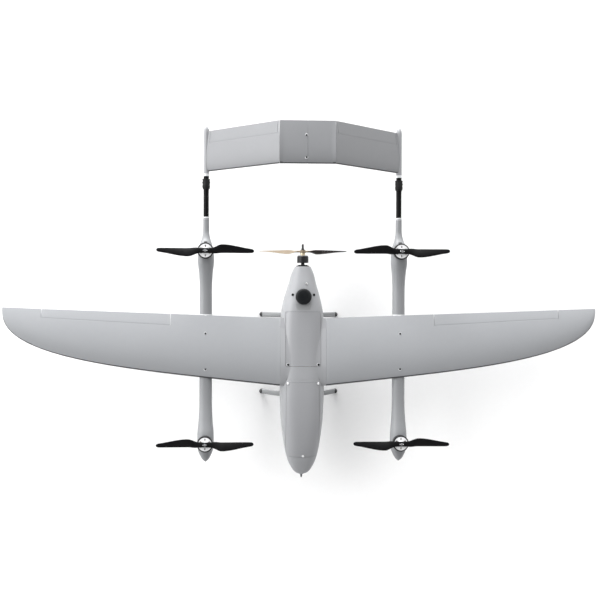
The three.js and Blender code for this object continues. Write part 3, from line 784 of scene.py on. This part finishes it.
def stator(base, skirt, rim, coil, teeth):
    """The still part: its foot with the neck, its windings and its laminations."""
    neck = base * 0.55
    foot = lathe([(5, 0), (base - 0.8, 0), (base, 0.8), (base, 3.2), (base - 0.8, 4), (neck + 1, 5),
                  (neck, 6), (neck, rim - 10), (5, rim - 10), (5, 0)], 64)
    low, high = skirt + 3.5, rim - 8.5
    winding = block(neck + 0.5, coil - 2.6, -2.6, 2.6, low, high, 2)
    shoe = block(coil - 2.8, coil - 0.3, -coil * 0.145, coil * 0.145, low + 1.5, high - 1.5, 0.6, 2)
    return foot, *[joined(*[turned(part, "Z", 360 * i / teeth) for i in range(teeth)])
                   for part in (winding, shoe)]


LIFT_RING, LIFT_TOP = outrunner(43, 7, 37, 14, 43, 6)
LIFT_FOOT, LIFT_COILS, LIFT_IRON = stator(24, 7, 37, 39, 18)
LIFT_BLADES = moved(propeller(LIFT_PROP, 15), 0, 0, 43 + 5.5 + 0.3)
LIFT_SHAFT = joined(lathe([(0, 2), (3.4, 2), (4, 2.6), (4, 54), (3.4, 55), (0, 55)], 32),
                    lathe([(0, 54.4), (6.4, 54.4), (6.9, 54.9), (6.9, 57), (6.2, 58), (0, 58.3)], 24))
CLAMP = cut(block(-13, 13, -6.4, 6.4, 54.2, 56.8, 1.2), disc(4.2, 50, 60, 0, 24))
CLAMP_SCREWS = spread(screw(2.5, 1.8), [(x, 0, 56.7) for x in (-9.4, 9.4)])
FOOT_SCREWS = spread(screw(2.6, 2.2), [(*polar(19.5, a), 3.9) for a in (0.8, 2.35, 3.95, 5.5)])


def lift_motor(end, y, side, sign):
    name = f"lift_{end}_{side}"
    rotor = name + "_rotor"
    seat = (sign * BOOM_X, y, MOTOR_SEAT_Z + 0.4)
    blades = scaled(LIFT_BLADES, sign * (1 if end == "front" else -1), 1, 1)
    for part, shape, material, body, slot, replaced in (
            ("mount", LIFT_FOOT, ALUMINIUM, "airframe", "motor_metal", name + "_stator"),
            ("windings", LIFT_COILS, COPPER, "airframe", "motor_metal", None),
            ("laminations", LIFT_IRON, BLACK_METAL, "airframe", "motor_metal", None),
            ("spider", LIFT_TOP, SILVER, rotor, "motor_metal", name + "_bell"),
            ("ring", LIFT_RING, BLACK_METAL, rotor, "black_metal", None),
            ("shaft", LIFT_SHAFT, GREY_METAL, rotor, "steel", None),
            ("blades", blades, CARBON, rotor, "carbon", name + "_propeller"),
            ("clamp", CLAMP, BLACK_METAL, rotor, "black_metal", None),
            ("clamp_screws", CLAMP_SCREWS, STEEL, rotor, "steel", None),
            ("mount_screws", FOOT_SCREWS, STEEL, "airframe", "steel", None)):
        piece(f"{name}_{part}", moved(shape, *seat), material, body, replaced)
    for index, x in enumerate((-6, 0, 6), 1):
        route = spline([(x, 21, 6), (x, 30, 4.5), (x * 1.1, 41, -3), (x, 52, -12)], 14)
        piece(f"{name}_wire_{index}", moved(tube(route, 1.9, 10), *seat), BLACK)


# ---- Pusher: its parts are built about +Z and turned to face aft ----

PUSHER_SEAT_Y = FUSELAGE_END_Y + 0.8 + 5
PLATE_SCREW_SPOTS = [polar(29, a) for a in (0.79, 2.36, 3.93, 5.5)]


def aft(shape, y=PUSHER_SEAT_Y):
    return moved(turned(shape, "X", -90), 0, y, PUSHER_Z)


mount = cut(disc(36, 0, 5, 1, 72), *[moved(disc(2.6, -3, 9, 0, 20), *spot) for spot in PLATE_SCREW_SPOTS])
piece("pusher_plate", aft(mount, 191.4), BLACK_METAL, replaces="pusher_mount")
piece("pusher_plate_screws", aft(spread(screw(4.2, 3), PLATE_SCREW_SPOTS)), BLACK_METAL)
pusher_ring, pusher_top = outrunner(31, 15, 50, 13, 69, 0)
pusher_foot, pusher_coils, pusher_iron = stator(17, 15, 50, 27.4, 12)
piece("pusher_mount_foot", aft(pusher_foot), BLACK_METAL, replaces="pusher_stator")
piece("pusher_windings", aft(pusher_coils), COPPER)
piece("pusher_laminations", aft(pusher_iron), BLACK_METAL)
piece("pusher_can", aft(joined(pusher_ring, disc(28.4, 44.6, 49.4, 1.5, 64))), BLACK_METAL, "pusher_rotor",
      "pusher_bell")
piece("pusher_flange", aft(disc(28.6, 50, 54, 0.8, 64)), GREY_METAL, "pusher_rotor")
hub = lathe([(4, 49), (15, 49), (15, 54.5), (12.6, 56), (12, 58), (12.4, 60.4), (13.6, 62), (13.6, 67.6),
             (12.8, 68.6), (4, 68.6), (4, 49)], 56)
piece("pusher_hub", aft(hub), BRASS, "pusher_rotor")
wood_blades = moved(scaled(propeller(PUSHER_PROP, 16), 1, 1, -1), 0, 0, 69 + 7 + 0.3)


def shaded_front_face(centre, normal):
    """Painted shade: the forward-facing side of the wooden blades, which faces away from the light, is
    coloured near black.
    """
    return normal.y < -0.25 and abs(centre.x) > 24


piece("pusher_blades", aft(wood_blades), WOOD, "pusher_rotor", "pusher_propeller",
      (PROP_PAINTED_SHADE, shaded_front_face))
piece("pusher_washer", aft(disc(12, 83.6, 86.4, 0.7, 48)), BLACK_METAL, "pusher_rotor")
nut = lathe([(0, 86.4), (6.6, 86.4), (7.2, 87), (7.2, 93), (6.6, 93.6), (0, 93.6)], 6)
cap = lathe([(0, 93.4), (5.6, 93.4), (5.6, 110), (5.2, 113), (3.6, 116), (0, 117.4)], 32)
piece("pusher_nut", aft(joined(nut, cap)), BLACK_METAL, "pusher_rotor")
piece("pusher_shaft", aft(disc(4, 2, 92, 0.5, 32)), STEEL, "pusher_rotor")

# ---- Servos and control linkages ----

ARM = 16
PLATE = 2.4
ROD_RADIUS = 1.3


def side_plate(outline, x, y, z):
    """A thin plate that lies across X, from an outline of (y, z) pairs."""
    return loft([[(x + dx, y + dy, z + dz) for dy, dz in outline] for dx in (0, PLATE)])


def horn(link):
    x, y, z = link["x"], link["y"], link["z"]
    outline = [(4, -1.5), (-2.2, -ARM + 3.4)]
    outline += [polar(3.4, a, 0, -ARM) for a in np.linspace(2.7, 2 * pi - 0.1, 14)]
    outline += [(14, -1.5)]
    return cut(side_plate(outline, x, y, z), facing(disc(1.2, -3, 6, 0, 16), (1, 0, 0), (x, y, z - ARM)))


def arm(link):
    x, y, z = link["x"], link["spindle_y"], link["spindle_z"]
    outline = [polar(4.6, a) for a in np.linspace(0, pi, 13)]
    outline += [polar(3, a, 0, -ARM) for a in np.linspace(pi, 2 * pi, 13)]
    return joined(side_plate(outline, x, y, z), facing(screw(2.2, 1.5), (1, 0, 0), (x + PLATE, y, z)))


def pushrod(link):
    """The rod and the clevises at its two ends."""
    run = Vector((0, link["y"] - link["spindle_y"], link["z"] - link["spindle_z"]))
    front = Vector((link["x"] + PLATE + 0.4 + ROD_RADIUS, link["spindle_y"], link["spindle_z"] - ARM))
    back = front + run
    past = run.normalized() * 2.5
    end = turned(block(-0.5, 2.6, -4.5, 4.5, -2.6, 2.6, 0.8), "X", degrees(atan2(run.z, run.y)))
    return tube([front - past, (front + back) / 2, back + past], ROD_RADIUS, 16), spread(end, (front, back))


def servo_block(link, gap, depth, bevel):
    """The servo's case, or the pocket for it where there is a gap."""
    x, y, z = link["x"], link["spindle_y"], link["skin"]
    return block(x - 13 - gap, x - 0.6 + gap, y - 21 - gap, y + 9 + gap, z - depth, z + 13 + gap, bevel)


def servo(link):
    x, y, z = link["x"], link["spindle_y"], link["skin"]
    pin = facing(disc(2.6, -0.8, 0.4, 0.1, 20), (1, 0, 0), (x, y, link["spindle_z"]))
    lid_screw = facing(screw(1.1, 0.7), (0, 0, -1), (x - 13, y, z - 11))
    return joined(servo_block(link, 0, 11, 1.2), pin,
                  spread(lid_screw, [(dx, dy) for dx in (2.4, 10) for dy in (-18.6, 6.6)]))


def horn_slot(link):
    x, y, z = link["x"], link["y"], link["z"]
    return block(x - 1.2, x + 3.6, y - 14, y + 1, z - 30, z - 1, 0)


def panel_with_cove(body, cove, link):
    """A panel with its room for the control surface, the servo and the horn."""
    return cut(body, cove, servo_block(link, 0.4, 30, 0), horn_slot(link))


def add_surface(kind, side, to_frame, section_at, span, link_x, paint):
    """A control surface with its horn, servo, arm and pushrod. to_frame places the panel's own frame."""
    link = linkage(section_at(link_x))
    rings = [flap_ring(section_at(x)) for x in np.linspace(span[0] + 1.9, span[1] - 1.9, 26)]
    surface = f"{kind}_{side}"
    servo_node = f"{kind}_servo_{side}"
    arm_body = f"{kind}_servo_arm_{side}"
    rod_body = f"{kind}_pushrod_{side}"
    rod, clevises = pushrod(link)
    for name, shape, material, body, slot, replaced in (
            (surface + "_flap", loft(rings), paint, surface, "shell", surface),
            (surface + "_horn", horn(link), BLACK, surface, "black_plastic", None),
            (f"{kind}_servo_case_{side}", servo(link), BLACK, "airframe", "black_plastic", servo_node),
            (f"{kind}_arm_{side}", arm(link), GREY_PLASTIC, arm_body, "black_plastic", arm_body),
            (f"{kind}_rod_{side}", rod, STEEL, rod_body, "steel", rod_body),
            (f"{kind}_clevises_{side}", clevises, BLACK, rod_body, "black_plastic", None)):
        piece(name, to_frame(shape), material, body, replaced)


# ---- Wing panels ----

AILERON_LINK_X = 830


def wing_leading_edge_shade(centre, normal):
    """Painted shade: a dark band along the leading edges, which face away from the light."""
    return normal.y < -0.15 and hypot(normal.x, normal.y) > 0.5


# Painted shade along the tail's leading edges, which face away from the light
def tail_leading_edge_shade(centre, normal):
    return normal.y < -0.36


wing_x = steps((WING_ROOT_X + PANEL_GAP, 1300, 1520, 1590, 1602.4), (40, 18, 16, 9))
wing_body = loft([aerofoil(wing_section(x)) for x in wing_x])
wing_cove = loft([cove_ring(wing_section(x)) for x in np.linspace(*AILERON, 14)])
WING_SHAPE = panel_with_cove(wing_body, wing_cove, linkage(wing_section(AILERON_LINK_X)))

# ---- Tail: its panels are built along X, with the trailing edge on the axis, and tilted ----

RUDDERVATOR_LINK_X = 265


def to_tail(shape):
    tilted = turned(shape, "Y", degrees(TAIL_SLOPE))
    return moved(tilted, TAIL_FLAT_HALF, TAIL_TRAIL_Y, TAIL_TOP_Z)


tail_cove = loft([cove_ring(tail_section(x)) for x in RUDDERVATOR])
tail_body = loft([aerofoil(tail_section(x)) for x in np.linspace(-24, TAIL_LENGTH + 24, 30)])
tail_panel = panel_with_cove(tail_body, tail_cove, linkage(tail_section(RUDDERVATOR_LINK_X)))
tail_clip = block(TAIL_FLAT_HALF + 0.5, BOOM_X - 2, 560, 1010, 100, 900, 0)
TAIL_SHAPE = carved(to_tail(tail_panel), ("INTERSECT", tail_clip))


def tail_centre(x0, x1):
    """The flat bridge, which thickens to meet the sloping panels."""
    rings = []
    for x in np.linspace(x0, x1, 20):
        thickness = 0.1 * (1 + (1 / cos(TAIL_SLOPE) - 1) * smoothstep(abs(x), 120, 146))
        rings.append(aerofoil({**tail_section(x), "thickness": thickness}))
    return loft(rings)


def on_bridge(shape):
    return moved(shape, 0, TAIL_TRAIL_Y, TAIL_TOP_Z)


centre_halves = [tail_centre(-TAIL_FLAT_HALF + 0.5, -0.9), tail_centre(0.9, TAIL_FLAT_HALF - 0.5)]
core = moved(scaled(moved(tail_centre(-4, 4), 0, 109), 1, 0.985, 0.88), 0, -109)
piece("tail_bridge", on_bridge(joined(*centre_halves, core)), TAIL_PAINT,
      replaces="tail_center", marks=(LEADING_EDGE_SHADE, tail_leading_edge_shade))
spots = [(-7, TAIL_CHORD * (share - 1), TAIL_CHORD * half_thickness(share, 0.1)) for share in (0.14, 0.655)]
piece("tail_bridge_screws", on_bridge(spread(moved(screw(5, 3), z=-0.4), spots)), BLACK_METAL)
# Painted highlights: pale rings round the black tail bridge screws
piece("tail_bridge_screw_highlights", on_bridge(spread(moved(disc(8, 0, 0.7, 0.3, 28), z=-0.3), spots)), PALE_AND_HIGHLIGHT)

# ---- Booms ----

boom_rings = []
for y, half_width, low, high in stations(BOOM, steps((-862, -820, -600, 120, 450), (12, 30, 26, 46))):
    notch = 1.6 if 93 < y < 97 else 0
    ring = oval(half_width - notch, low + notch, high - notch, (low + high) / 2, 2.3, 64, BOOM_X, y)
    boom_rings.append([(x, y, min(z, MOTOR_SEAT_Z)) for x, y, z in ring])
boom_rings.insert(0, [((x + BOOM_X) / 2, -863.4, (z + 343) / 2) for x, _, z in boom_rings[0]])
BOOM_SHAPE = loft(boom_rings)


def along_boom(shape):
    return moved(turned(shape, "X", -90), BOOM_X, 0, BOOM_AXIS_Z)


def band(inner, outer, y0, y1, bevel):
    return along_boom(disc(outer, y0, y1, bevel, 64, inner))


TUBE_SHAPE = band(13, 15, 450.4, TUBE_END_Y, 0.4)
coupling_cone = lathe([(15.3, 607), (17.5, 607), (19.5, 610), (21, 622.5), (15.3, 622.5), (15.3, 607)], 64)
coupling_bolt = disc(3.2, 19, 24.5, 0.8, 18)
coupling_bolts = joined(turned(coupling_bolt, "Y", 60), turned(coupling_bolt, "Y", -60))
COUPLING_SHAPE = joined(band(15.3, 22.5, 622, 661, 2.5), along_boom(coupling_cone),
                        moved(coupling_bolts, BOOM_X, 641, BOOM_AXIS_Z))
TUBE_BANDS = joined(band(14.9, 17.6, 443, 457, 1.2), band(14.9, 17.2, 676, 690, 1.2))
TIP_RADIUS = 15.5
TIP_DOME_Y = TIP_END_Y - 40
tip_profile = [(0, 646), (12.5, 646), (12.5, TUBE_END_Y + 0.4), (TIP_RADIUS, TUBE_END_Y + 0.4)]
for y in np.linspace(700, TIP_END_Y, 22)[:-1]:
    inside = max(0, (y - TIP_DOME_Y) / 40)
    tip_profile.append((TIP_RADIUS * sqrt(1 - inside ** 2.2), y))
TIP_SHAPE = along_boom(lathe(tip_profile + [(0, TIP_END_Y)], 56))
COLLAR_SHAPE = loft([oval(35.2, 298.8, 367.2, 333, 2.3, 64, BOOM_X, y) for y in (-100, -68)])

boom_section = wing_section(BOOM_X)
wing_spots = []
for y in (-170, -362):
    share = 1 - (boom_section["trail"] - y) / boom_section["chord"]
    wing_spots.append((BOOM_X, y, skin(boom_section, share, 1)[2]))
WING_SCREWS = spread(moved(screw(5.4, 3.2), z=-0.2), wing_spots)
# Painted highlights: pale rings round the black wing screws
WING_SCREW_HIGHLIGHTS = spread(moved(disc(8.6, 0, 0.9, 0.4, 28), z=-0.3), wing_spots)

for side, sign in (("right", 1), ("left", -1)):
    def put(shape):
        return scaled(shape, sign, 1, 1)

    def put_tail(shape):
        return put(to_tail(shape))

    piece(f"wing_skin_{side}", put(WING_SHAPE), WING_PAINT, replaces=f"wing_{side}",
          marks=(LEADING_EDGE_SHADE, wing_leading_edge_shade))
    add_surface("aileron", side, put, wing_section, AILERON, AILERON_LINK_X, WING_PAINT)
    for name, shape, material, slot, replaced in (
            ("wing_screws", WING_SCREWS, BLACK_METAL, "black_metal", None),
            ("wing_screw_highlights", WING_SCREW_HIGHLIGHTS, PALE_AND_HIGHLIGHT, "shell", None),
            ("boom_shell", BOOM_SHAPE, BOOM_PAINT, "shell", "boom"),
            ("boom_collar", COLLAR_SHAPE, PALE_AND_HIGHLIGHT, "shell", None),
            ("carbon_tube", TUBE_SHAPE, CARBON_TUBE, "carbon", "tail_tube"),
            ("coupling", COUPLING_SHAPE, BLACK, "black_plastic", "tube_coupling"),
            ("tube_bands", TUBE_BANDS, PALE_AND_HIGHLIGHT, "shell", None),
            ("tail_tip", TIP_SHAPE, SHELL, "shell", "boom_tip")):
        piece(f"{name}_{side}", put(shape), material, replaces=replaced and f"{replaced}_{side}")
    piece(f"tail_skin_{side}", put(TAIL_SHAPE), TAIL_PAINT, replaces=f"tail_panel_{side}",
          marks=(LEADING_EDGE_SHADE, tail_leading_edge_shade))
    add_surface("ruddervator", side, put_tail, tail_section, RUDDERVATOR, RUDDERVATOR_LINK_X, TAIL_PAINT)
    for end, motor_y in zip(("front", "rear"), MOTOR_Y):
        lift_motor(end, motor_y, side, sign)

# ---- Landing gear ----


def bow(y, top, wide=14, tall=6):
    """A flat bar bent into a bow from foot to foot."""
    right = [(GEAR_HALF_TRACK + 2, 8), (193, 34), (156, 88), (116, 130), (70, top - 1)]
    points = [(x, y, z) for x, z in right] + [(0, y, top)] + [(-x, y, z) for x, z in right[::-1]]
    path = spline(points, 73)
    rings = []
    for p, ahead in zip(path, headings(path)):
        up = Vector((ahead.z, 0, -ahead.x))
        rings.append([p + Vector((0, wide * bulge(cos(a), 0.75), 0))
                      + up * (tall * bulge(sin(a), 0.75)) for a in round_angles(28)])
    return loft(rings)


half_turn = np.linspace(0, pi, 25)[1:-1]
unit_ball = lathe([(0, -1), *[(sin(a), -cos(a)) for a in half_turn], (0, 1)], 40)
for name, y, top in GEAR:
    bar = cut(bow(y, top), block(-400, 400, y - 50, y + 50, -40, 5, 0))
    piece(f"{name}_bow", bar, GEAR_PAINT, replaces=f"{name}_gear_bow")
    saddle = cut(block(-64, 64, y - 20, y + 20, top - 12, top + 24, 5), fuselage(0.3))
    piece(f"{name}_gear_saddle", saddle, GREY_PLASTIC)
    bolt = facing(screw(3.6, 2.6), (0, 0, -1), (0, y, top - 12))
    bolts = spread(bolt, [(x, dy) for x in (-48, 48) for dy in (-12, 12)])
    piece(f"{name}_gear_bolts", bolts, STEEL)
    for side, sign in (("right", 1), ("left", -1)):
        ball = moved(scaled(unit_ball, 15, 14.5, 13), sign * GEAR_HALF_TRACK, y, 8)
        foot = cut(ball, block(-400, 400, y - 50, y + 50, -40, 0, 0))
        piece(f"{name}_pad_{side}", foot, RUBBER, replaces=f"{name}_foot_{side}")

# ---- Floor, light and camera ----

floor = bpy.data.meshes.new("floor")
floor_corners = [(x, y, -0.0004) for x, y in ((-40, -40), (40, -40), (40, 40), (-40, 40))]
floor.from_pydata(floor_corners, [], [(0, 1, 2, 3)])
floor.materials.append(painted("floor_paper", (0.96, 0.96, 0.96), 0.8, 0.02))
new_object("floor", floor)


def area_light(name, place, target, size, power):
    data = bpy.data.lights.new(name, "AREA")
    data.shape = "RECTANGLE"
    data.size, data.size_y = size
    data.energy = power
    lamp = new_object(name, data)
    lamp.location = place
    lamp.rotation_euler = (Vector(target) - Vector(place)).to_track_quat("-Z", "Y").to_euler()


area_light("key", (-2.3, 8.2, 1.4), (0, 0, 0.35), (5.0, 1.7), 850)
area_light("side", (-5.5, 1.0, 4.0), (-0.4, 0, 0.3), (3.0, 3.0), 150)

# The studio's walls are lit, most of all aft and to the left, and its ceiling is dim
world = bpy.data.worlds.new("studio")
world.use_nodes = True
sky = world.node_tree
direction = add_node(sky, "TexCoord").outputs["Generated"]
height = add_node(sky, "SeparateXYZ", {0: direction}).outputs["Z"]
ceiling = add_node(sky, "MapRange", {"Value": height, "From Min": 0.5, "From Max": 0.9, "To Min": 1.95,
                                     "To Max": 0.18})
walls = add_node(sky, "VectorMath", {0: direction, 1: (-0.30, 0.78, 0)}, operation="DOT_PRODUCT")
lit = add_node(sky, "Math", {0: walls.outputs["Value"], 1: 1})
strength = add_node(sky, "Math", {0: ceiling.outputs[0], 1: lit.outputs[0]}, operation="MULTIPLY")
background = sky.nodes["Background"]
background.inputs["Color"].default_value = (1, 1, 1, 1)
sky.links.new(strength.outputs[0], background.inputs["Strength"])
scene = bpy.context.scene
scene.world = world
scene.view_settings.view_transform = "Standard"
scene.view_settings.look = "None"

lens = bpy.data.cameras.new("camera")
lens.sensor_width = 36
lens.lens = 51.62
lens.shift_x = 0.037
lens.clip_end = 100
camera = new_object("camera", lens)
camera.location = (-0.3391, 0.0419, 4.9948)
camera.rotation_euler = (-0.0071, -0.0437, 0.0032)
scene.camera = camera
